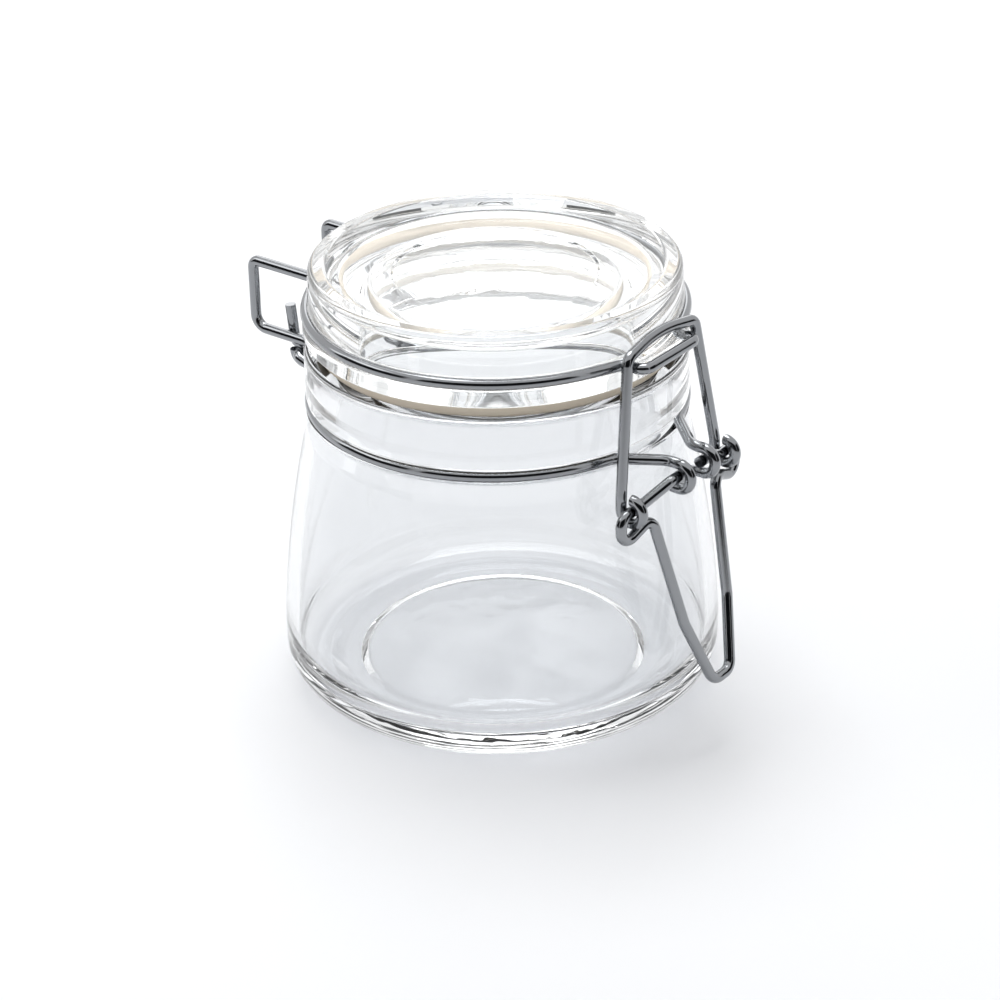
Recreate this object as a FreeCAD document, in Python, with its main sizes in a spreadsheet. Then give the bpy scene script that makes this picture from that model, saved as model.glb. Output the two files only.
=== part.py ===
import FreeCAD, Part
import math
import os
import Sketcher

# A half-litre clip-top storage jar: pressed glass jar and lid, a rubber sealing ring, and a
# closure of four bent steel wires. The origin is on the jar's axis at its standing plane, with
# +Z up, the latch towards -Y and the hinge towards +Y. Millimetres throughout.

SIZES = (
    # Wire and the room it runs in
    ("wire_diameter", 2.7),
    ("wire_play", 0.3),
    ("ring_sink", 1.0),
    ("ring_play", 0.4),
    # Jar body
    ("body_radius", 54.2),
    ("belly_height", 16.0),
    ("heel_radius", 10.0),
    ("wall_thickness", 3.2),
    ("wall_arc_radius", 300.0),
    ("floor_height", 6.0),
    ("inner_heel_radius", 9.0),
    ("punt_depth", 1.6),
    ("punt_slope", 2.0),
    ("stand_inner_radius", 36.0),
    ("shoulder_stand", 0.3),
    ("shoulder_height", 67.5),
    ("shoulder_round", 2.5),
    ("ledge_stand", 0.1),
    ("ledge_drop", 2.0),
    ("neck_radius", 46.5),
    ("neck_rise", 1.9),
    ("neck_wall", 6.7),
    ("wire_rise", 7.0),
    ("mouth_rise", 14.1),
    ("mouth_round", 1.5),
    # Sealing ring
    ("gasket_thickness", 3.6),
    ("gasket_inset", 2.9),
    ("gasket_play", 0.2),
    ("gasket_round", 0.9),
    # Lid
    ("lid_wire_rise", 5.8),
    ("rim_inset", 1.3),
    ("rim_draft", 0.5),
    ("rim_step", 1.9),
    ("rim_land", 4.0),
    ("rim_round", 1.6),
    ("lid_height", 17.0),
    ("dish_slope", 3.8),
    ("dish_depth", 2.7),
    ("dish_round", 3.0),
    ("panel_radius", 25.0),
    ("panel_depth", 0.6),
    ("lid_hollow", 9.6),
    ("plug_play", 1.4),
    ("plug_draft", 1.0),
    ("plug_depth", 4.6),
    ("plug_width", 4.0),
    ("plug_slope", 3.0),
    ("plug_round", 1.0),
    # Hinge at the back
    ("hinge_lateral", 14.0),
    ("hinge_gap", 0.4),
    ("axle_out", 4.0),
    ("axle_rise", 2.5),
    ("loop_out", 15.5),
    ("loop_top_bend", 2.0),
    ("loop_foot_bend", 3.4),
    ("tail_out", 5.5),
    ("tail_lean", 1.2),
    ("tail_height", 10.0),
    ("tight_bend", 1.5),
    ("ring_bend", 3.0),
    ("ring_back_angle", 28.0),
    ("loop_back_angle", 30.0),
    ("ring_front_angle", 25.0),
    # Catch on the front of the lid wire
    ("catch_lateral", 10.6),
    ("catch_out", 5.5),
    ("catch_bend", 2.5),
    # Hooks on the front of the neck wire
    ("lead_lateral", 13.0),
    ("lead_bend", 5.0),
    ("hook_lateral", 5.0),
    ("hook_radius", 3.2),
    ("hook_lead", 3.5),
    ("hook_return", 2.8),
    ("pin_out", 11.5),
    ("pin_fall", 4.0),
    # Lever
    ("pin_end", 2.0),
    ("crank_lateral", 8.5),
    ("elbow_lateral", 16.4),
    ("elbow_end", 23.4),
    ("elbow_inset", 3.5),
    ("elbow_drop", 4.5),
    ("elbow_bend", 1.6),
    ("elbow_fall", 7.9),
    ("elbow_turn", 2.8),
    ("arm_lateral", 13.0),
    ("arm_drop", 3.6),
    ("arm_out", 1.2),
    ("arm_bend", 2.5),
    ("waist_lateral", 9.0),
    ("waist_drop", 32.0),
    ("waist_out", 8.0),
    ("waist_bend", 9.0),
    ("tip_lateral", 3.6),
    ("tip_drop", 48.5),
    ("tip_out", 12.8),
    ("tip_bend", 3.4),
    # Bail
    ("bail_lateral", 13.4),
    ("bail_inset", 2.8),
    ("bail_bow", 1.2),
    ("bail_arch", 2.0),
    ("bail_bow_bend", 40.0),
    ("bail_bend", 2.2),
    ("bail_lift", 0.5),
    ("bail_eye_lateral", 19.2),
    ("bail_eye_lead", 2.4),
    ("bail_leg_bend", 6.0),
)

# Places that several pieces share
NECK_WIRE = "size.shoulder_height + size.wire_rise"
MOUTH = NECK_WIRE + " + size.mouth_rise"
MOUTH_RADIUS = "size.neck_radius - size.neck_wall"
PLUG_RADIUS = MOUTH_RADIUS + " - size.plug_play"
FLANGE = MOUTH + " + size.gasket_thickness"
LID_WIRE = FLANGE + " + size.lid_wire_rise"
RING = "size.neck_radius - size.ring_sink"
AXLE = RING + " + size.axle_out"
AXLE_HEIGHT = NECK_WIRE + " + size.axle_rise"
CATCH = RING + " + size.catch_out"
PIN = RING + " + size.pin_out"
PIN_HEIGHT = NECK_WIRE + " - size.pin_fall"

doc = FreeCAD.newDocument("clip_top_jar")
sheet = doc.addObject("Spreadsheet::Sheet", "size")
for row, (alias, number) in enumerate(SIZES, start=1):
    sheet.set("A%d" % row, alias)
    sheet.set("B%d" % row, str(number))
    sheet.setAlias("B%d" % row, alias)
doc.recompute()


def mm(expression):
    """The value of an expression in the sheet's names."""
    return float(sheet.evalExpression(expression))


def origin_plane(body, role):
    """One of a body's own origin planes, found by its role."""
    for feature in body.Origin.OriginFeatures:
        if feature.Role == role:
            return feature
    raise RuntimeError("no origin plane " + role)


def bind(sketch, kind, places, expression):
    """Adds one dimension to a sketch and ties it to the sheet."""
    index = sketch.addConstraint(Sketcher.Constraint(kind, *places, mm(expression)))
    sketch.setExpression("Constraints[%d]" % index, expression)


def half_section(body, name, corners, arcs=()):
    """A closed half-section in the X-Z plane, one line from each corner to the next.

    corners holds (radius, height) expressions. arcs maps the index of a stretch to the
    expression of the radius that it bulges outwards with.
    """
    sketch = body.newObject("Sketcher::SketchObject", name)
    sketch.AttachmentSupport = (origin_plane(body, "XZ_Plane"), [""])
    sketch.MapMode = "FlatFace"
    arcs = dict(arcs)
    spots = [FreeCAD.Vector(mm(r), mm(z), 0) for r, z in corners]
    count = len(spots)
    ends = []
    for index, start in enumerate(spots):
        stop = spots[(index + 1) % count]
        if index in arcs:
            ends.append(add_bulge(sketch, start, stop, mm(arcs[index])))
        else:
            sketch.addGeometry(Part.LineSegment(start, stop))
            ends.append((1, 2))
    for index in range(count):
        following = (index + 1) % count
        sketch.addConstraint(
            Sketcher.Constraint("Coincident", index, ends[index][1], following, ends[following][0])
        )
    for index, (radius, height) in enumerate(corners):
        corner = (index, ends[index][0])
        if radius == "0":
            sketch.addConstraint(Sketcher.Constraint("PointOnObject", *corner, -2))
        else:
            bind(sketch, "DistanceX", (-1, 1) + corner, radius)
        if height == "0":
            sketch.addConstraint(Sketcher.Constraint("PointOnObject", *corner, -1))
        else:
            bind(sketch, "DistanceY", (-1, 1) + corner, height)
    for index, radius in arcs.items():
        bind(sketch, "Radius", (index,), radius)
    return sketch


def add_bulge(sketch, start, stop, radius):
    """A shallow arc from start to stop that bulges away from the axis. Returns its end numbers."""
    chord = stop - start
    middle = (start + stop) * 0.5
    outward = FreeCAD.Vector(abs(chord.y), -chord.x * math.copysign(1, chord.y), 0).normalize()
    sagitta = radius - math.sqrt(radius ** 2 - (chord.Length / 2) ** 2)
    sketch.addGeometry(Part.Arc(start, middle + outward * sagitta, stop))
    return (1, 2) if chord.y > 0 else (2, 1)


def revolve(body, sketch):
    """Turns a half-section all the way round the jar's axis."""
    turned = body.newObject("PartDesign::Revolution", sketch.Name + "_turned")
    turned.Profile = sketch
    turned.ReferenceAxis = (sketch, ["V_Axis"])
    turned.Angle = 360
    doc.recompute()
    return turned


def round_edges(body, base, name, spots, radius):
    """Rounds the circular edges that pass through the given (radius, height) spots."""
    names = []
    for wanted_radius, wanted_height in spots:
        target = FreeCAD.Vector(mm(wanted_radius), mm(wanted_height), 0)
        names.append(nearest_circle(base.Shape, target))
    fillet = body.newObject("PartDesign::Fillet", name)
    fillet.Base = (base, names)
    fillet.setExpression("Radius", radius)
    doc.recompute()
    return fillet


def nearest_circle(shape, target):
    """The name of the circular edge about the axis nearest to a radius and height."""
    best_name = None
    best_distance = 0.05
    for index, edge in enumerate(shape.Edges, start=1):
        if not isinstance(edge.Curve, Part.Circle):
            continue
        distance = math.hypot(edge.Curve.Radius - target.x, edge.Curve.Center.z - target.y)
        if distance < best_distance:
            best_name = "Edge%d" % index
            best_distance = distance
    if best_name is None:
        raise RuntimeError("no edge at radius %.2f, height %.2f" % (target.x, target.y))
    return best_name


def wire_groove(body, name, height):
    """Cuts the groove that a wire ring lies in: a round bottom, and straight sides to the surface."""
    sketch = body.newObject("Sketcher::SketchObject", name)
    sketch.AttachmentSupport = (origin_plane(body, "XZ_Plane"), [""])
    sketch.MapMode = "FlatFace"
    centre = FreeCAD.Vector(mm(RING), mm(height), 0)
    half_width = "size.wire_diameter / 2 + size.ring_play"
    sketch.addGeometry(Part.Circle(centre, FreeCAD.Vector(0, 0, 1), mm(half_width)))
    bind(sketch, "Radius", (0,), half_width)
    bind(sketch, "DistanceX", (-1, 1, 0, 3), RING)
    bind(sketch, "DistanceY", (-1, 1, 0, 3), height)
    cut_round(body, sketch)
    low = height + " - (" + half_width + ")"
    high = height + " + " + half_width
    outside = "size.neck_radius + size.wire_diameter"
    sides = ((RING, low), (outside, low), (outside, high), (RING, high))
    cut_round(body, half_section(body, name + "_sides", sides))


def cut_round(body, sketch):
    """Cuts a section out of a body all the way round the jar's axis."""
    volume = body.Tip.Shape.Volume
    groove = body.newObject("PartDesign::Groove", sketch.Name + "_cut")
    groove.Profile = sketch
    groove.ReferenceAxis = (sketch, ["V_Axis"])
    groove.Angle = 360
    doc.recompute()
    if not groove.Shape.Volume < volume:
        raise RuntimeError(sketch.Name + " cuts nothing")


def jar_body():
    """The pressed glass jar: standing ring, bulging wall, shoulder, grooved neck and flat mouth."""
    body = doc.addObject("PartDesign::Body", "jar_body")
    belly = "size.belly_height"
    outer = "size.body_radius"
    inner = "size.body_radius - size.wall_thickness"
    shoulder = "size.neck_radius + size.shoulder_stand"
    throat = shoulder + " - size.wall_thickness"
    ledge = NECK_WIRE + " - size.ledge_drop"
    neck = NECK_WIRE + " + size.neck_rise"
    corners = (
        ("0", "size.punt_depth"),
        ("size.stand_inner_radius - size.punt_slope", "size.punt_depth"),
        ("size.stand_inner_radius", "0"),
        (outer, "0"),
        (outer, belly),
        (shoulder, "size.shoulder_height"),
        ("size.neck_radius + size.ledge_stand", ledge),
        ("size.neck_radius", neck),
        ("size.neck_radius", MOUTH),
        (MOUTH_RADIUS, MOUTH),
        (MOUTH_RADIUS, neck),
        (throat, "size.shoulder_height"),
        (inner, belly),
        (inner, "size.floor_height"),
        ("0", "size.floor_height"),
    )
    arcs = ((4, "size.wall_arc_radius"), (11, "size.wall_arc_radius"))
    section = half_section(body, "jar_section", corners, arcs)
    solid = revolve(body, section)
    solid = round_edges(body, solid, "heel", [(outer, "0")], "size.heel_radius")
    floor_corner = [(inner, "size.floor_height")]
    solid = round_edges(body, solid, "inner_heel", floor_corner, "size.inner_heel_radius")
    height = "size.shoulder_height"
    shoulders = [(shoulder, height), (throat, height), (MOUTH_RADIUS, neck)]
    solid = round_edges(body, solid, "shoulders", shoulders, "size.shoulder_round")
    lips = [("size.neck_radius", MOUTH), (MOUTH_RADIUS, MOUTH)]
    round_edges(body, solid, "lips", lips, "size.mouth_round")
    wire_groove(body, "neck_groove", NECK_WIRE)
    return body


def lid():
    """The pressed glass lid: flange, wire groove, raised rim round a dish, and a hollow plug below."""
    body = doc.addObject("PartDesign::Body", "lid")
    top = FLANGE + " + size.lid_height"
    dish = top + " - size.dish_depth"
    panel = dish + " - size.panel_depth"
    plug_foot = FLANGE + " - size.plug_depth"
    plug_edge = PLUG_RADIUS + " - size.plug_draft"
    rim = "size.neck_radius - size.rim_inset"
    rim_top = rim + " - size.rim_draft"
    land = rim_top + " - size.rim_land"
    dish_edge = land + " - size.dish_slope"
    step = LID_WIRE + " + size.rim_step"
    corners = (
        ("0", FLANGE + " + size.lid_hollow"),
        (plug_edge + " - size.plug_width - size.plug_slope", FLANGE + " + size.lid_hollow"),
        (plug_edge + " - size.plug_width", plug_foot),
        (plug_edge, plug_foot),
        (PLUG_RADIUS, FLANGE),
        ("size.neck_radius", FLANGE),
        ("size.neck_radius", LID_WIRE),
        (rim, step),
        (rim_top, top),
        (land, top),
        (dish_edge, dish),
        ("size.panel_radius", dish),
        ("size.panel_radius - size.panel_depth", panel),
        ("0", panel),
    )
    section = half_section(body, "lid_section", corners)
    solid = revolve(body, section)
    solid = round_edges(body, solid, "rim", [(rim_top, top), (land, top)], "size.rim_round")
    solid = round_edges(body, solid, "dish", [(dish_edge, dish)], "size.dish_round")
    plug = [(plug_edge, plug_foot), (plug_edge + " - size.plug_width", plug_foot)]
    solid = round_edges(body, solid, "plug", plug, "size.plug_round")
    round_edges(body, solid, "flange", [("size.neck_radius", FLANGE)], "size.plug_round")
    wire_groove(body, "lid_groove", LID_WIRE)
    return body


def gasket():
    """The flat rubber sealing ring that sits round the lid's plug."""
    body = doc.addObject("PartDesign::Body", "gasket")
    inner = PLUG_RADIUS + " + size.gasket_play"
    outer = "size.neck_radius - size.gasket_inset"
    corners = ((inner, MOUTH), (outer, MOUTH), (outer, FLANGE), (inner, FLANGE))
    section = half_section(body, "gasket_section", corners)
    solid = revolve(body, section)
    round_edges(body, solid, "gasket_edges", [(outer, MOUTH), (outer, FLANGE)], "size.gasket_round")
    return body


def rounded_route(stops):
    """A path of straight runs joined by tangent arcs.

    Each stop is (x, y, z, bend radius). The first and last stops are the wire's ends.
    """
    points = [FreeCAD.Vector(*stop[:3]) for stop in stops]
    edges = []
    start = points[0]
    for before, corner, after, stop in zip(points, points[1:], points[2:], stops[1:]):
        back = (before - corner).normalize()
        ahead = (after - corner).normalize()
        half_angle = back.getAngle(ahead) / 2
        reach = stop[3] / math.tan(half_angle)
        bisector = (back + ahead).normalize()
        enter = corner + back * reach
        leave = corner + ahead * reach
        middle = corner + bisector * (stop[3] / math.sin(half_angle) - stop[3])
        edges += straight_run(start, enter)
        edges.append(Part.Arc(enter, middle, leave).toShape())
        start = leave
    edges += straight_run(start, points[-1])
    return Part.Wire(edges)


def straight_run(start, stop):
    """The straight edge between two bends, or none where the bends meet."""
    if start.isEqual(stop, 1e-6):
        return []
    return [Part.LineSegment(start, stop).toShape()]


def ring_stops(height, back_angle, front_angle, count):
    """Stops of one side of a wire ring, from its back to its front, as touching arcs."""
    radius = mm(RING)
    first = math.radians(mm(back_angle))
    last = math.pi - math.radians(mm(front_angle))
    half_step = (last - first) / count / 2
    reach = radius / math.cos(half_step)
    stops = []
    for index in range(count):
        angle = first + half_step * (2 * index + 1)
        stops.append((reach * math.sin(angle), reach * math.cos(angle), height, radius))
    return stops


def tangent_stop(lateral, height, angle, side, bend):
    """The stop where the ring's tangent at an angle meets a lateral distance from the middle."""
    radius = mm(RING)
    turn = math.radians(mm(angle))
    reach = (radius - lateral * math.sin(turn)) / math.cos(turn)
    return (lateral, side * reach, height, bend)


def bent_wire(name, half, middle=()):
    """One symmetrical wire, from the stops of its +X half and any in the middle, swept round."""
    mirrored = [(-x, y, z, bend) for x, y, z, bend in reversed(half)]
    spine = doc.addObject("Part::Feature", name + "_spine")
    spine.Shape = rounded_route([*half, *middle, *mirrored])
    first = spine.Shape.Edges[0]
    section = doc.addObject("Part::Circle", name + "_section")
    section.setExpression("Radius", "size.wire_diameter / 2")
    direction = first.tangentAt(first.FirstParameter)
    turn = FreeCAD.Rotation(FreeCAD.Vector(0, 0, 1), direction)
    section.Placement = FreeCAD.Placement(first.valueAt(first.FirstParameter), turn)
    wire = doc.addObject("Part::Sweep", name)
    wire.Sections = [section]
    wire.Spine = (spine, ["Edge%d" % number for number in range(1, len(spine.Shape.Edges) + 1)])
    wire.Solid = True
    doc.recompute()
    expected = math.pi * mm("size.wire_diameter / 2") ** 2 * spine.Shape.Length
    if abs(wire.Shape.Volume / expected - 1) > 0.02:
        raise RuntimeError("%s has volume %.1f, not %.1f" % (name, wire.Shape.Volume, expected))
    return wire


def lid_wire():
    """The upper wire: front catch, ring round the lid, and two hinge loops that end in eyes."""
    height = mm(LID_WIRE)
    lateral = mm("size.hinge_lateral")
    axle = mm(AXLE)
    axle_height = mm(AXLE_HEIGHT)
    eye = mm("size.wire_diameter + size.wire_play")
    reach = axle + mm("size.loop_out")
    catch = mm("size.catch_lateral")
    catch_reach = mm(CATCH)
    catch_bend = mm("size.catch_bend")
    half = [
        (lateral, axle + eye, axle_height, 0),
        (lateral, axle + eye, axle_height - eye, eye),
        (lateral, axle - eye, axle_height - eye, eye),
        (lateral, axle - eye, axle_height + eye, eye),
        (lateral, reach, axle_height + eye, mm("size.loop_foot_bend")),
        (lateral, reach, height, mm("size.loop_top_bend")),
        tangent_stop(lateral, height, "size.loop_back_angle", 1, mm("size.ring_bend")),
    ]
    half += ring_stops(height, "size.loop_back_angle", "size.ring_front_angle", 3)
    half.append(tangent_stop(catch, height, "size.ring_front_angle", -1, catch_bend))
    half.append((catch, -catch_reach, height, catch_bend))
    return bent_wire("lid_wire", half)


def neck_wire():
    """The lower wire: two hooks at the front, ring round the neck, hinge axles and upturned tails."""
    height = mm(NECK_WIRE)
    spacing = mm("size.wire_diameter + size.hinge_gap")
    inner = mm("size.hinge_lateral") - spacing
    outer = mm("size.hinge_lateral") + spacing
    axle = mm(AXLE)
    axle_height = mm(AXLE_HEIGHT)
    tail = axle + mm("size.tail_out")
    tight = mm("size.tight_bend")
    hook = mm("size.hook_lateral")
    hook_radius = mm("size.hook_radius")
    pin = mm(PIN)
    seat = mm("size.hook_radius - size.wire_diameter - size.wire_play")
    middle = mm(PIN_HEIGHT) - seat
    half = [
        (inner, tail + mm("size.tail_lean"), axle_height + mm("size.tail_height"), 0),
        (inner, tail, axle_height, tight),
        (inner, axle, axle_height, tight),
        (outer, axle, axle_height, tight),
        tangent_stop(outer, height, "size.ring_back_angle", 1, tight),
    ]
    half += ring_stops(height, "size.ring_back_angle", "size.ring_front_angle", 3)
    half += [
        tangent_stop(mm("size.lead_lateral"), height, "size.ring_front_angle", -1, mm("size.lead_bend")),
        (hook, mm("size.hook_lead") - pin, middle + hook_radius, mm("size.lead_bend")),
        (hook, -pin - hook_radius, middle + hook_radius, hook_radius),
        (hook, -pin - hook_radius, middle - hook_radius, hook_radius),
        (hook, mm("size.hook_return") - pin, middle - hook_radius, tight),
    ]
    return bent_wire("neck_wire", half)


def lever():
    """The handle: pins in the neck wire's hooks, cranked elbows for the bail, and a long loop."""
    pin = mm(PIN)
    pin_height = mm(PIN_HEIGHT)
    elbow = pin - mm("size.elbow_inset")
    elbow_height = pin_height - mm("size.elbow_drop")
    end = mm("size.elbow_end")
    bend = mm("size.elbow_bend")
    turn = mm("size.elbow_turn")
    fall = mm("size.elbow_fall")
    half = [
        (mm("size.hook_lateral - size.pin_end"), -pin, pin_height, 0),
        (mm("size.crank_lateral"), -pin, pin_height, bend),
        (mm("size.elbow_lateral"), -elbow, elbow_height, bend),
        (end, -elbow, elbow_height, turn),
        (end, -elbow, elbow_height - fall, turn),
    ]
    for name in ("arm", "waist", "tip"):
        out = elbow + mm("size.%s_out" % name)
        drop = elbow_height - mm("size.%s_drop" % name)
        half.append((mm("size.%s_lateral" % name), -out, drop, mm("size.%s_bend" % name)))
    return bent_wire("lever", half)


def bail():
    """The link that holds the lid down: a bar over the catch and two legs with eyes on the lever."""
    height = mm(LID_WIRE) + mm("size.wire_diameter + size.bail_lift")
    reach = mm(CATCH + " - size.bail_inset")
    lateral = mm("size.bail_eye_lateral")
    eye = mm("size.wire_diameter + size.wire_play")
    elbow = mm(PIN + " - size.elbow_inset")
    middle = mm(PIN_HEIGHT + " - size.elbow_drop")
    half = [
        (lateral, -elbow, middle + eye, 0),
        (lateral, -elbow - eye, middle + eye, eye),
        (lateral, -elbow - eye, middle - eye, eye),
        (lateral, -elbow + eye, middle - eye, eye),
        (lateral, -elbow + eye, middle + mm("size.bail_eye_lead"), mm("size.bail_leg_bend")),
        (mm("size.bail_lateral"), -reach, height, mm("size.bail_bend")),
    ]
    bow = (0, mm("size.bail_bow") - reach, height + mm("size.bail_arch"), mm("size.bail_bow_bend"))
    return bent_wire("bail", half, [bow])


nodes = [jar_body(), gasket(), lid(), neck_wire(), lid_wire(), lever(), bail()]
doc.recompute()

for item in doc.Objects:
    if "Invalid" in item.State or "Error" in item.State:
        raise RuntimeError(item.Name + " failed to build")
for node in nodes:
    node.Label = node.Name
    node.Placement = FreeCAD.Placement()
    if node.Shape.isNull() or not node.Shape.isValid():
        raise RuntimeError(node.Label + " has no valid solid")

os.makedirs("parts", exist_ok=True)
for node in nodes:
    node.Shape.exportStep("parts/%s.step" % node.Label)
    print(node.Label, "solids", len(node.Shape.Solids), "volume %.1f" % node.Shape.Volume)
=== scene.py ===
import math

import bmesh
import bpy
from mathutils import Matrix, Vector
from mathutils.geometry import intersect_line_sphere_2d


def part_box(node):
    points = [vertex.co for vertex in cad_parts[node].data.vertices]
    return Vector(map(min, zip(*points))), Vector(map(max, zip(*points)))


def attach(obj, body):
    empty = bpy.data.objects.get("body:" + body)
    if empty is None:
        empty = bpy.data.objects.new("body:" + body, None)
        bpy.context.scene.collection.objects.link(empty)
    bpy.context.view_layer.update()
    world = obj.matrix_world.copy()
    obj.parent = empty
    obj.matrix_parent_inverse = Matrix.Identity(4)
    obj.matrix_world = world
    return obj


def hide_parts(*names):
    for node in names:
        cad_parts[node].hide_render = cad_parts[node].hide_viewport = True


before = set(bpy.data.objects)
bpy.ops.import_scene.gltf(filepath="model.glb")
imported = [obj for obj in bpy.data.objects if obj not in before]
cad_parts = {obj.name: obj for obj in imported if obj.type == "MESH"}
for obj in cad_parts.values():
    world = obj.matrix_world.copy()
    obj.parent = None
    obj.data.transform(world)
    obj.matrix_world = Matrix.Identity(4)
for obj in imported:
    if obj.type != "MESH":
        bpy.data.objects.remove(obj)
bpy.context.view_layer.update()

bl_info = {
    "name": "Clip-Top Jar Dressing",
    "version": (1, 0, 0),
    "blender": (4, 5, 0),
    "location": "View3D > Sidebar > Jar",
    "description": "Dresses a clip-top storage jar with pressed glass, rubber and steel wire",
    "category": "Object",
}

MM = 0.001
JAR_LOW, JAR_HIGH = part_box("jar_body")
LID_LOW, LID_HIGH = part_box("lid")
SEAL_LOW, SEAL_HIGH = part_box("gasket")
WIRE_NODES = ("lid_wire", "neck_wire", "lever", "bail")
# Both wire rings have this radius, and lie in grooves a little wider than the wire.
WIRE_RING = 45.5 * MM
GROOVE_RADIUS = 1.75 * MM
# Straight steps that stand for a round edge, a wire groove, the bulging wall and a full turn.
ROUND_STEPS = 8
GROOVE_STEPS = 12
WALL_STEPS = 16
TURN_STEPS = 192
# The two colour inputs of a colour mix node, and its colour output.
FIRST_COLOUR, SECOND_COLOUR, MIXED_COLOUR = 6, 7, 2
WHITE = (1, 1, 1, 1)
# Light passes many faces of glass before it reaches the floor.
BOUNCES = {"max_bounces": 20, "glossy_bounces": 10, "transmission_bounces": 16}
# Softboxes: name, place and side in metres, power in watts.
SOFTBOXES = (
    ("top_softbox", (0.28, 0.36, 1.3), 0.8, 10.5),
    ("window_softbox", (-0.6, 0.9, 0.8), 0.7, 2.5),
    ("back_softbox", (0.87, 0.68, 0.66), 0.7, 2.0),
)
# Black cards: name, degrees from the camera's side, then distance, width, height and low edge in metres,
# and whether they show through the glass.
BLACK_CARDS = (
    ("left_card", -75, 0.55, 0.5, 0.4, 0.02, True),
    ("right_card", 75, 0.55, 0.5, 0.4, 0.02, True),
    ("front_card", 0, 1.1, 2.2, 1.2, 0.05, False),
)


def linear(hex_colour):
    """An sRGB hex colour as linear red, green, blue and alpha."""
    parts = [int(hex_colour[i:i + 2], 16) / 255 for i in (1, 3, 5)]
    curve = [p / 12.92 if p <= 0.04045 else ((p + 0.055) / 1.055) ** 2.4 for p in parts]
    return (*curve, 1.0)


def length(name, description, default):
    """A length property in metres, from a default in metres."""
    return bpy.props.FloatProperty(
        name=name, description=description, default=default, min=0.0, unit="LENGTH", precision=4
    )


def colour(name, description, hex_colour):
    """A colour property, from an sRGB hex default."""
    return bpy.props.FloatVectorProperty(
        name=name, description=description, default=linear(hex_colour),
        size=4, min=0.0, max=1.0, subtype="COLOR",
    )


class JarGlassSettings(bpy.types.PropertyGroup):
    """Sizes of the jar's half-section, with its height and belly from the frame."""

    height: length("Height", "Standing plane to mouth", JAR_HIGH.z)
    belly_radius: length("Belly radius", "Widest outer radius", JAR_HIGH.x)
    belly_height: length("Belly height", "Where the wall starts to draw in", 16.0 * MM)
    heel_round: length("Heel round", "Outer rounding at the foot", 10.0 * MM)
    wall: length("Wall", "Thickness of the glass wall", 3.2 * MM)
    wall_arc: length("Wall arc", "Radius that the wall bulges with", 300.0 * MM)
    floor: length("Floor", "Height of the inner floor", 6.0 * MM)
    floor_round: length("Floor round", "Inner rounding at the floor", 9.0 * MM)
    punt: length("Punt", "Depth of the hollow under the floor", 1.6 * MM)
    stand_radius: length("Standing ring", "Inner radius of the standing ring", 36.0 * MM)
    stand_width: length("Standing width", "Width of the standing ring's flat", 7.6 * MM)
    stand_step: length("Standing step", "How far the ring stands below the heel", 0.45 * MM)
    punt_slope: length("Punt slope", "Width of the hollow's sloping edge", 2.0 * MM)
    shoulder_radius: length("Shoulder radius", "Outer radius at the shoulder", 46.8 * MM)
    shoulder_height: length("Shoulder height", "Height of the shoulder", 67.5 * MM)
    shoulder_round: length("Shoulder round", "Rounding of the shoulder", 2.5 * MM)
    ledge_radius: length("Ledge radius", "Outer radius below the neck's wire", 46.6 * MM)
    ledge_height: length("Ledge height", "Height of the ledge below the wire", 72.5 * MM)
    neck_radius: length("Neck radius", "Outer radius of the neck", 46.5 * MM)
    neck_height: length("Neck height", "Where the straight neck starts", 76.4 * MM)
    wire_height: length("Wire height", "Height of the neck's wire groove", 74.5 * MM)
    mouth_radius: length("Mouth radius", "Inner radius of the mouth", 39.8 * MM)
    lip_round: length("Lip round", "Rounding of the mouth's edges", 1.5 * MM)


class LidGlassSettings(bpy.types.PropertyGroup):
    """Sizes of the lid's half-section, with its top and plug foot from the frame."""

    top: length("Top", "Height of the rim's top", LID_HIGH.z)
    plug_foot: length("Plug foot", "Height of the plug's lower edge", LID_LOW.z)
    flange_radius: length("Flange radius", "Outer radius of the flange", 46.5 * MM)
    flange_height: length("Flange height", "Height of the flange's underside", SEAL_HIGH.z)
    flange_round: length("Flange round", "Rounding of the flange's lower edge", 1.0 * MM)
    wire_height: length("Wire height", "Height of the lid's wire groove", 98.0 * MM)
    rim_radius: length("Rim radius", "Outer radius above the wire", 45.2 * MM)
    rim_step: length("Rim step", "Height from the wire to the rim's full radius", 1.9 * MM)
    rim_draft: length("Rim draft", "How much the rim draws in to its top", 0.5 * MM)
    rim_land: length("Rim land", "Width of the rim's flat top", 4.0 * MM)
    rim_round: length("Rim round", "Rounding of the rim's edges", 1.6 * MM)
    dish_radius: length("Dish radius", "Radius of the dish's floor", 36.9 * MM)
    dish_depth: length("Dish depth", "Depth of the dish below the rim", 2.7 * MM)
    dish_round: length("Dish round", "Rounding at the foot of the dish's wall", 3.0 * MM)
    panel_radius: length("Panel radius", "Radius of the sunk middle panel", 25.0 * MM)
    panel_depth: length("Panel depth", "How far the panel lies below the dish", 0.6 * MM)
    hollow: length("Hollow", "Height of the hollow above the flange", 9.6 * MM)
    plug_radius: length("Plug radius", "Outer radius of the plug at the flange", 38.4 * MM)
    plug_draft: length("Plug draft", "How much the plug draws in to its foot", 1.0 * MM)
    plug_width: length("Plug width", "Width of the plug's foot", 4.0 * MM)
    plug_slope: length("Plug slope", "Slope of the plug's inner side", 3.0 * MM)
    plug_round: length("Plug round", "Rounding of the plug's foot", 1.0 * MM)


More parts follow.
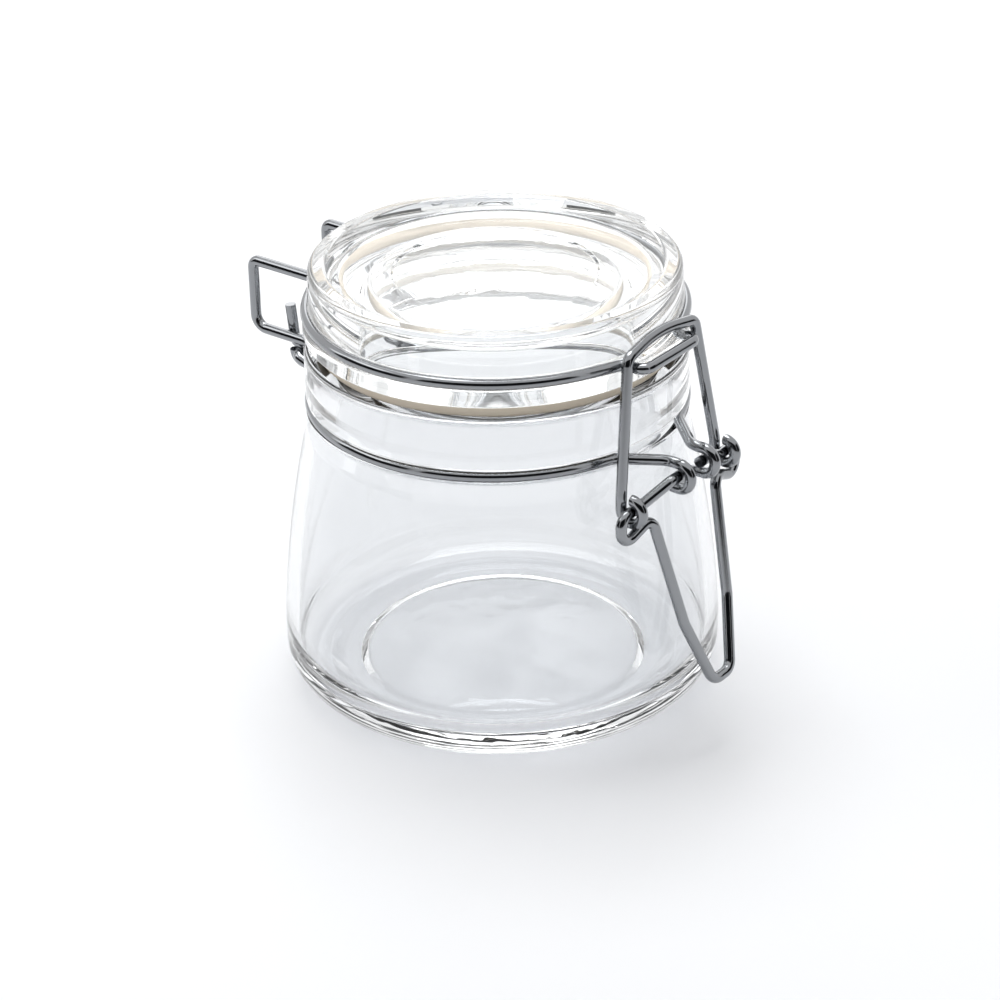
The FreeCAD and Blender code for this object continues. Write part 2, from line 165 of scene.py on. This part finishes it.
class SealSettings(bpy.types.PropertyGroup):
    """Sizes and colour of the rubber ring, from the frame."""

    low: length("Low", "Height of the underside", SEAL_LOW.z)
    high: length("High", "Height of the top", SEAL_HIGH.z)
    outer: length("Outer radius", "Outer radius of the ring", SEAL_HIGH.x)
    inner: length("Inner radius", "Inner radius of the ring", 38.6 * MM)
    edge_round: length("Edge round", "Rounding of the outer edges", 0.9 * MM)
    air_gap: length("Air gap", "Air between the dry rubber and the glass", 0.05 * MM)
    rubber: colour("Rubber", "Colour of the rubber", "#D0C3AF")


class ClipSettings(bpy.types.PropertyGroup):
    """Finish of the clip's wires."""

    steel: colour("Steel", "Colour of the wire", "#909295")


class StageSettings(bpy.types.PropertyGroup):
    """The camera, floor and light that the jar is shown with."""

    azimuth: bpy.props.FloatProperty(
        name="Azimuth", description="Angle of the camera from the latch's side",
        default=math.radians(52.0), subtype="ANGLE",
    )
    elevation: bpy.props.FloatProperty(
        name="Elevation", description="Angle of the camera above the floor",
        default=math.radians(27.6), subtype="ANGLE",
    )
    roll: bpy.props.FloatProperty(
        name="Roll", description="Turn of the camera about its view", default=math.radians(-1.2),
        subtype="ANGLE",
    )
    distance: length("Distance", "From the camera to the jar's middle", 790.0 * MM)
    pivot_height: length("Pivot height", "Height that the camera circles", 47.5 * MM)
    aim_height: length("Aim height", "Height that the camera looks at", 44.5 * MM)
    lens: bpy.props.FloatProperty(
        name="Lens", description="Focal length in millimetres", default=115.3, min=1.0
    )
    floor_size: length("Floor size", "Side of the square floor", 6.0)
    floor_gap: length("Floor gap", "Air between the floor and the standing ring", 0.1 * MM)
    floor: colour("Floor", "Colour of the floor", "#F6F7F9")
    shadow: bpy.props.FloatProperty(
        name="Shadow", description="How much of the jar's shadow the floor shows",
        default=0.95, min=0.0, max=1.0, subtype="FACTOR",
    )


def add_node(tree, kind, settings=(), links=()):
    """Adds a node, sets its properties or inputs, and links sockets to its inputs."""
    node = tree.nodes.new(kind)
    for name, value in dict(settings).items():
        if isinstance(name, str) and hasattr(node, name):
            setattr(node, name, value)
        else:
            node.inputs[name].default_value = value
    for name, socket in dict(links).items():
        tree.links.new(socket, node.inputs[name])
    return node


def new_material(name):
    """An empty node material and its output node."""
    material = bpy.data.materials.new(name)
    material.use_nodes = True
    tree = material.node_tree
    tree.nodes.clear()
    return material, tree, add_node(tree, "ShaderNodeOutputMaterial")


def mixed_colour(tree, first, second, share):
    """A socket with a colour between two linear colours, by a share from another socket."""
    mix = add_node(tree, "ShaderNodeMix", {"data_type": "RGBA"}, {0: share})
    mix.inputs[FIRST_COLOUR].default_value = first
    mix.inputs[SECOND_COLOUR].default_value = second
    return mix.outputs[MIXED_COLOUR]


def pressed_soda_glass(name, tint, strength, calm_height):
    """Clear soda-lime glass pressed in a mould.

    The mould chills the skin unevenly, so edges seen through the glass waver. The light that falls through
    it is painted into patches of light and shade on what lies below, a painted caustic. The swell dies away
    above calm_height, where the wall is blown.
    """
    material, tree, output = new_material(name)
    place = add_node(tree, "ShaderNodeTexCoord").outputs["Object"]
    height = add_node(tree, "ShaderNodeSeparateXYZ", (), {0: place}).outputs["Z"]
    flat = add_node(tree, "ShaderNodeVectorMath", {"operation": "MULTIPLY", 1: (1, 1, 0)}, {0: place})
    radius = add_node(tree, "ShaderNodeVectorMath", {"operation": "LENGTH"}, {0: flat.outputs[0]})
    swell_width = 11.0 * MM
    swell_depth = 0.6 * MM
    swell_radius = 25.0 * MM
    fade = 6.0 * MM
    calm = 0.02
    # Spread of the swell noise over which the painted caustic runs from grey to white.
    painted_caustic_range = 0.12
    swell = add_node(
        tree, "ShaderNodeTexNoise",
        {"Scale": 1 / swell_width, "Detail": 1.5, "Roughness": 0.45, "Distortion": 0.6}, {"Vector": place},
    )
    low_share = add_node(
        tree, "ShaderNodeMapRange",
        {"From Min": calm_height, "From Max": calm_height + fade, "To Min": 1.0, "To Max": calm},
        {"Value": height},
    )
    middle_share = add_node(
        tree, "ShaderNodeMapRange",
        {"From Min": swell_radius, "From Max": swell_radius + fade, "To Min": 1.0, "To Max": calm},
        {"Value": radius.outputs["Value"]},
    )
    share = add_node(
        tree, "ShaderNodeMath", {"operation": "MINIMUM"},
        {0: low_share.outputs[0], 1: middle_share.outputs[0]},
    )
    centred = add_node(
        tree, "ShaderNodeMath", {"operation": "SUBTRACT", 1: 0.5}, {0: swell.outputs["Fac"]}
    )
    faded = add_node(
        tree, "ShaderNodeMath", {"operation": "MULTIPLY"}, {0: centred.outputs[0], 1: share.outputs[0]}
    )
    ripple = add_node(
        tree, "ShaderNodeBump", {"Strength": strength, "Distance": swell_depth}, {"Height": faded.outputs[0]}
    )
    glass = add_node(
        tree, "ShaderNodeBsdfPrincipled",
        {"Base Color": linear(tint), "Roughness": 0.0, "IOR": 1.51, "Transmission Weight": 1.0},
        {"Normal": ripple.outputs["Normal"]},
    )
    # Painted caustics: for lamp rays the glass passes light in noise patches, from grey #C4C5C8 up to white,
    # so a painted pattern of light and shade falls on the floor under the base.
    painted_caustic_share = add_node(
        tree, "ShaderNodeMapRange", {"From Min": -painted_caustic_range, "From Max": painted_caustic_range}, {"Value": faded.outputs[0]}
    )
    shade = mixed_colour(tree, linear("#C4C5C8"), WHITE, painted_caustic_share.outputs[0])
    clear = add_node(tree, "ShaderNodeBsdfTransparent", (), {"Color": shade})
    path = add_node(tree, "ShaderNodeLightPath")
    mix = add_node(
        tree, "ShaderNodeMixShader", (),
        {0: path.outputs["Is Shadow Ray"], 1: glass.outputs[0], 2: clear.outputs[0]},
    )
    tree.links.new(mix.outputs[0], output.inputs["Surface"])
    return material


def natural_rubber(tint):
    """Moulded natural rubber, matt with a fine dusty skin and slight clouding of its colour."""
    material, tree, output = new_material("natural_rubber")
    place = add_node(tree, "ShaderNodeTexCoord").outputs["Object"]
    cloud_width = 7.0 * MM
    grain_width = 0.5 * MM
    grain_depth = 0.05 * MM
    cloud = add_node(
        tree, "ShaderNodeTexNoise", {"Scale": 1 / cloud_width, "Detail": 3.0}, {"Vector": place}
    )
    shade = mixed_colour(tree, tint, linear("#DDD2C1"), cloud.outputs["Fac"])
    grain = add_node(
        tree, "ShaderNodeTexNoise", {"Scale": 1 / grain_width, "Detail": 2.0}, {"Vector": place}
    )
    skin = add_node(
        tree, "ShaderNodeBump", {"Strength": 0.25, "Distance": grain_depth}, {"Height": grain.outputs["Fac"]}
    )
    rubber = add_node(
        tree, "ShaderNodeBsdfPrincipled", {"Roughness": 0.6, "IOR": 1.52},
        {"Base Color": shade, "Normal": skin.outputs["Normal"]},
    )
    tree.links.new(rubber.outputs[0], output.inputs["Surface"])
    return material


def bright_steel_wire(tint):
    """Drawn steel wire with a bright plated skin: sharp reflections, softened in small patches."""
    material, tree, output = new_material("bright_steel_wire")
    place = add_node(tree, "ShaderNodeTexCoord").outputs["Object"]
    patch_width = 3.0 * MM
    draw_width = 0.35 * MM
    draw_depth = 0.03 * MM
    patch = add_node(
        tree, "ShaderNodeTexNoise", {"Scale": 1 / patch_width, "Detail": 4.0}, {"Vector": place}
    )
    gloss = add_node(
        tree, "ShaderNodeMapRange", {"To Min": 0.06, "To Max": 0.18}, {"Value": patch.outputs["Fac"]}
    )
    draw = add_node(
        tree, "ShaderNodeTexNoise", {"Scale": 1 / draw_width, "Detail": 2.0}, {"Vector": place}
    )
    skin = add_node(
        tree, "ShaderNodeBump", {"Strength": 0.12, "Distance": draw_depth}, {"Height": draw.outputs["Fac"]}
    )
    steel = add_node(
        tree, "ShaderNodeBsdfPrincipled", {"Base Color": tint, "Metallic": 1.0},
        {"Roughness": gloss.outputs[0], "Normal": skin.outputs["Normal"]},
    )
    tree.links.new(steel.outputs[0], output.inputs["Surface"])
    return material


def bulge(start, stop, radius):
    """Points between two (radius, height) spots on an arc that bulges away from the axis."""
    first = Vector(start)
    last = Vector(stop)
    chord = last - first
    outward = Vector((abs(chord.y), -chord.x * math.copysign(1, chord.y))).normalized()
    centre = (first + last) / 2 - outward * math.sqrt(radius ** 2 - (chord.length / 2) ** 2)
    points = []
    for index in range(1, WALL_STEPS):
        along = first.lerp(last, index / WALL_STEPS) - centre
        points.append(tuple(centre + along.normalized() * radius))
    return points


def groove(height, below, above):
    """Points round the groove that a wire ring lies in, with a round bottom and straight sides.

    below and above are the pairs of (radius, height) spots whose lines the groove starts and ends on.
    """
    middle = Vector((WIRE_RING, height))
    crossings = intersect_line_sphere_2d(Vector(above[0]), Vector(above[1]), middle, GROOVE_RADIUS, False)
    edge = max(crossings, key=lambda spot: spot.y) - middle
    first = 1.5 * math.pi
    last = max(math.pi / 2, math.atan2(edge.y, edge.x))
    points = [side_spot(below, height - GROOVE_RADIUS)]
    for index in range(GROOVE_STEPS + 1):
        angle = first + (last - first) * index / GROOVE_STEPS
        spot = middle + GROOVE_RADIUS * Vector((math.cos(angle), math.sin(angle)))
        points.append(tuple(spot))
    if last == math.pi / 2:
        points.append(side_spot(above, height + GROOVE_RADIUS))
    return points


def side_spot(line, height):
    """The (radius, height) spot on a sloping line at a height."""
    (first_radius, first_height), (last_radius, last_height) = line
    share = (height - first_height) / (last_height - first_height)
    return (first_radius + (last_radius - first_radius) * share, height)


def turned_piece(name, corners, closed):
    """A piece spun round the jar's axis from a half-section of (radius, height, round) corners."""
    shape = bmesh.new()
    verts = [shape.verts.new((corner[0], 0, corner[1])) for corner in corners]
    count = len(verts)
    for index in range(count if closed else count - 1):
        shape.edges.new((verts[index], verts[(index + 1) % count]))
    for index, corner in enumerate(corners):
        if len(corner) < 3:
            continue
        here = Vector(corner[:2])
        back = Vector(corners[index - 1][:2]) - here
        ahead = Vector(corners[(index + 1) % count][:2]) - here
        bmesh.ops.bevel(
            shape, geom=[verts[index]], offset=corner[2] / math.tan(back.angle(ahead) / 2),
            offset_type="OFFSET", segments=ROUND_STEPS, profile=0.5, affect="VERTICES", material=-1,
        )
    outline = shape.verts[:] + shape.edges[:]
    bmesh.ops.spin(
        shape, geom=outline, cent=(0, 0, 0), axis=(0, 0, 1), angle=math.tau, steps=TURN_STEPS,
        use_merge=True,
    )
    bmesh.ops.remove_doubles(shape, verts=shape.verts[:], dist=0.001 * MM)
    bmesh.ops.recalc_face_normals(shape, faces=shape.faces[:])
    for face in shape.faces:
        face.smooth = True
    mesh = bpy.data.meshes.new(name)
    shape.to_mesh(mesh)
    shape.free()
    piece = bpy.data.objects.new(name, mesh)
    bpy.context.scene.collection.objects.link(piece)
    return piece


def dress(piece, material, body, node):
    """Gives a piece its material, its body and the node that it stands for."""
    piece.data.materials.append(material)
    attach(piece, body)
    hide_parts(node)


class JAR_OT_jar_glass(bpy.types.Operator):
    """Turns the pressed glass jar"""

    bl_idname = "jar.jar_glass"
    bl_label = "Jar Glass"

    def execute(self, context):
        size = context.scene.jar_glass
        wall_start = (size.belly_radius, size.belly_height)
        wall_stop = (size.shoulder_radius, size.shoulder_height)
        inside_start = (size.shoulder_radius - size.wall, size.shoulder_height)
        inside_stop = (size.belly_radius - size.wall, size.belly_height)
        ledge = (size.ledge_radius, size.ledge_height)
        neck = (size.neck_radius, size.neck_height)
        corners = [
            (0, size.punt),
            (size.stand_radius - size.punt_slope, size.punt, size.punt),
            (size.stand_radius, 0, size.punt_slope / 4),
            (size.stand_radius + size.stand_width, 0),
            (size.stand_radius + size.stand_width + size.stand_step, size.stand_step),
            (size.belly_radius, size.stand_step, size.heel_round - size.stand_step),
            wall_start,
            *bulge(wall_start, wall_stop, size.wall_arc),
            (*wall_stop, size.shoulder_round),
            ledge,
            *groove(size.wire_height, (ledge, neck), (ledge, neck)),
            neck,
            (size.neck_radius, size.height, size.lip_round),
            (size.mouth_radius, size.height, size.lip_round),
            (size.mouth_radius, size.neck_height, size.shoulder_round),
            (*inside_start, size.shoulder_round),
            *bulge(inside_start, inside_stop, size.wall_arc),
            inside_stop,
            (size.belly_radius - size.wall, size.floor, size.floor_round),
            (0, size.floor),
        ]
        piece = turned_piece("jar_glass", corners, closed=False)
        glass = pressed_soda_glass("jar_soda_glass", "#F1F2F3", 0.3, size.floor)
        dress(piece, glass, "jar", "jar_body")
        return {"FINISHED"}


class JAR_OT_lid_glass(bpy.types.Operator):
    """Turns the pressed glass lid"""

    bl_idname = "jar.lid_glass"
    bl_label = "Lid Glass"

    def execute(self, context):
        size = context.scene.lid_glass
        rim_top = size.rim_radius - size.rim_draft
        dish = size.top - size.dish_depth
        hollow = size.flange_height + size.hollow
        plug_edge = size.plug_radius - size.plug_draft
        plug_inside = plug_edge - size.plug_width
        flange = (size.flange_radius, size.flange_height)
        waist = (size.flange_radius, size.wire_height)
        step = (size.rim_radius, size.wire_height + size.rim_step)
        corners = [
            (0, hollow),
            (plug_inside - size.plug_slope, hollow, size.plug_round),
            (plug_inside, size.plug_foot, size.plug_round),
            (plug_edge, size.plug_foot, size.plug_round),
            (size.plug_radius, size.flange_height),
            (*flange, size.flange_round),
            *groove(size.wire_height, (flange, waist), (waist, step)),
            step,
            (rim_top, size.top, size.rim_round),
            (rim_top - size.rim_land, size.top, size.rim_round),
            (size.dish_radius, dish, size.dish_round),
            (size.panel_radius, dish, size.panel_depth / 2),
            (size.panel_radius - size.panel_depth, dish - size.panel_depth, size.panel_depth / 2),
            (0, dish - size.panel_depth),
        ]
        piece = turned_piece("lid_glass", corners, closed=False)
        glass = pressed_soda_glass("lid_soda_glass", "#FAFBFB", 0.12, size.top)
        dress(piece, glass, "lid_assembly", "lid")
        return {"FINISHED"}


class JAR_OT_seal_ring(bpy.types.Operator):
    """Turns the rubber sealing ring"""

    bl_idname = "jar.seal_ring"
    bl_label = "Sealing Ring"

    def execute(self, context):
        size = context.scene.jar_seal
        corners = [
            (size.inner, size.low + size.air_gap),
            (size.outer, size.low + size.air_gap, size.edge_round),
            (size.outer, size.high - size.air_gap, size.edge_round),
            (size.inner, size.high - size.air_gap),
        ]
        piece = turned_piece("seal_ring", corners, closed=True)
        dress(piece, natural_rubber(size.rubber), "lid_assembly", "gasket")
        return {"FINISHED"}


class JAR_OT_clip_wires(bpy.types.Operator):
    """Gives the clip's four wires their steel"""

    bl_idname = "jar.clip_wires"
    bl_label = "Clip Wires"

    def execute(self, context):
        steel = bright_steel_wire(context.scene.jar_clip.steel)
        for name in WIRE_NODES:
            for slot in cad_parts[name].material_slots:
                slot.material = steel
        return {"FINISHED"}


def studio_floor(size):
    """A pale paper sweep that lies under the jar and keeps a soft share of its shadow."""
    shape = bmesh.new()
    lower = Matrix.Translation((0, 0, -size.floor_gap))
    bmesh.ops.create_grid(shape, x_segments=1, y_segments=1, size=size.floor_size / 2, matrix=lower)
    mesh = bpy.data.meshes.new("floor")
    shape.to_mesh(mesh)
    shape.free()
    material, tree, output = new_material("white_paper_sweep")
    paper = add_node(tree, "ShaderNodeBsdfDiffuse", {"Color": size.floor})
    glow = add_node(tree, "ShaderNodeEmission", {"Color": WHITE, "Strength": 1.0})
    path = add_node(tree, "ShaderNodeLightPath")
    seen = seen_rays(tree, path)
    share = add_node(
        tree, "ShaderNodeMath", {"operation": "MULTIPLY", 1: 1.0 - size.shadow}, {0: seen}
    )
    mix = add_node(
        tree, "ShaderNodeMixShader", (),
        {0: share.outputs[0], 1: paper.outputs[0], 2: glow.outputs[0]},
    )
    tree.links.new(mix.outputs[0], output.inputs["Surface"])
    mesh.materials.append(material)
    floor = bpy.data.objects.new("floor", mesh)
    bpy.context.scene.collection.objects.link(floor)


def seen_rays(tree, path):
    """A socket that is 1 for rays that show the background: direct, mirrored or through glass."""
    mirrored = add_node(
        tree, "ShaderNodeMath", {"operation": "MAXIMUM"},
        {0: path.outputs["Is Camera Ray"], 1: path.outputs["Is Glossy Ray"]},
    )
    seen = add_node(
        tree, "ShaderNodeMath", {"operation": "MAXIMUM"},
        {0: mirrored.outputs[0], 1: path.outputs["Is Transmission Ray"]},
    )
    return seen.outputs[0]


def studio_world():
    """An even white room that lights the jar softly and shows as white."""
    world = bpy.data.worlds.new("white_room")
    world.use_nodes = True
    tree = world.node_tree
    tree.nodes.clear()
    output = add_node(tree, "ShaderNodeOutputWorld")
    path = add_node(tree, "ShaderNodeLightPath")
    light = 0.55
    white = 1.0
    level = add_node(
        tree, "ShaderNodeMapRange", {"To Min": light, "To Max": white}, {"Value": seen_rays(tree, path)}
    )
    room = add_node(tree, "ShaderNodeBackground", {"Color": WHITE}, {"Strength": level.outputs[0]})
    tree.links.new(room.outputs[0], output.inputs["Surface"])
    bpy.context.scene.world = world


def look_at(place, aim, roll=0.0):
    """The matrix of a camera or lamp at a place, aimed at a point and rolled about its view."""
    ahead = (aim - place).normalized()
    right = ahead.cross(Vector((0, 0, 1))).normalized()
    up = right.cross(ahead)
    turned_right = right * math.cos(roll) + up * math.sin(roll)
    turned_up = up * math.cos(roll) - right * math.sin(roll)
    turn = Matrix((turned_right, turned_up, -ahead)).transposed()
    return Matrix.Translation(place) @ turn.to_4x4()


def softbox(name, place, size, power):
    """A square area lamp aimed at the jar's middle, a little off its axis."""
    lamp = bpy.data.lights.new(name, "AREA")
    lamp.size = size
    lamp.energy = power
    lamp_object = bpy.data.objects.new(name, lamp)
    lamp_object.matrix_world = look_at(Vector(place), Vector((0, 1.0 * MM, 50.0 * MM)))
    bpy.context.scene.collection.objects.link(lamp_object)


def black_card(name, azimuth, distance, width, height, low, through_glass):
    """A dark card round the jar, out of the picture, that gives glass and wire their dark edges."""
    shape = bmesh.new()
    bmesh.ops.create_grid(shape, x_segments=1, y_segments=1, size=0.5)
    upright = Matrix.Rotation(math.pi / 2, 4, "X") @ Matrix.Diagonal((width, height, 1, 1))
    lift = Matrix.Translation((0, -distance, low + height / 2))
    turn = Matrix.Rotation(azimuth, 4, "Z")
    bmesh.ops.transform(shape, matrix=turn @ lift @ upright, verts=shape.verts[:])
    mesh = bpy.data.meshes.new(name)
    shape.to_mesh(mesh)
    shape.free()
    material, tree, output = new_material(name + "_felt")
    felt = add_node(tree, "ShaderNodeBsdfDiffuse", {"Color": linear("#1E1F21")})
    tree.links.new(felt.outputs[0], output.inputs["Surface"])
    mesh.materials.append(material)
    card = bpy.data.objects.new(name, mesh)
    card.visible_camera = False
    card.visible_shadow = False
    card.visible_diffuse = False
    card.visible_transmission = through_glass
    bpy.context.scene.collection.objects.link(card)


class JAR_OT_stage(bpy.types.Operator):
    """Sets up the floor, light and camera"""

    bl_idname = "jar.stage"
    bl_label = "Stage"

    def execute(self, context):
        size = context.scene.jar_stage
        context.scene.view_settings.view_transform = "Standard"
        for name, count in BOUNCES.items():
            setattr(context.scene.cycles, name, count)
        studio_floor(size)
        studio_world()
        for name, place, side, power in SOFTBOXES:
            softbox(name, place, side, power)
        for name, degrees, *measures in BLACK_CARDS:
            black_card(name, math.radians(degrees) - size.azimuth, *measures)
        camera = bpy.data.cameras.new("camera")
        camera.lens = size.lens
        camera_object = bpy.data.objects.new("camera", camera)
        flat = size.distance * math.cos(size.elevation)
        place = Vector((
            -flat * math.sin(size.azimuth),
            -flat * math.cos(size.azimuth),
            size.pivot_height + size.distance * math.sin(size.elevation),
        ))
        camera_object.matrix_world = look_at(place, Vector((0, 0, size.aim_height)), size.roll)
        context.scene.collection.objects.link(camera_object)
        context.scene.camera = camera_object
        return {"FINISHED"}


OPERATORS = (JAR_OT_jar_glass, JAR_OT_lid_glass, JAR_OT_seal_ring, JAR_OT_clip_wires, JAR_OT_stage)


class JAR_PT_dressing(bpy.types.Panel):
    """The jar's dressing steps in the 3D view's sidebar"""

    bl_idname = "JAR_PT_dressing"
    bl_label = "Jar Dressing"
    bl_space_type = "VIEW_3D"
    bl_region_type = "UI"
    bl_category = "Jar"

    def draw(self, context):
        for operator in OPERATORS:
            self.layout.operator(operator.bl_idname)


SETTINGS = {
    "jar_glass": JarGlassSettings,
    "lid_glass": LidGlassSettings,
    "jar_seal": SealSettings,
    "jar_clip": ClipSettings,
    "jar_stage": StageSettings,
}


def register():
    for group in (*SETTINGS.values(), *OPERATORS, JAR_PT_dressing):
        bpy.utils.register_class(group)
    for name, group in SETTINGS.items():
        setattr(bpy.types.Scene, name, bpy.props.PointerProperty(type=group))


def unregister():
    for name in SETTINGS:
        delattr(bpy.types.Scene, name)
    for group in reversed((*SETTINGS.values(), *OPERATORS, JAR_PT_dressing)):
        bpy.utils.unregister_class(group)


def main():
    register()
    bpy.ops.jar.jar_glass()
    bpy.ops.jar.lid_glass()
    bpy.ops.jar.seal_ring()
    bpy.ops.jar.clip_wires()
    bpy.ops.jar.stage()


if __name__ == "__main__":
    main()
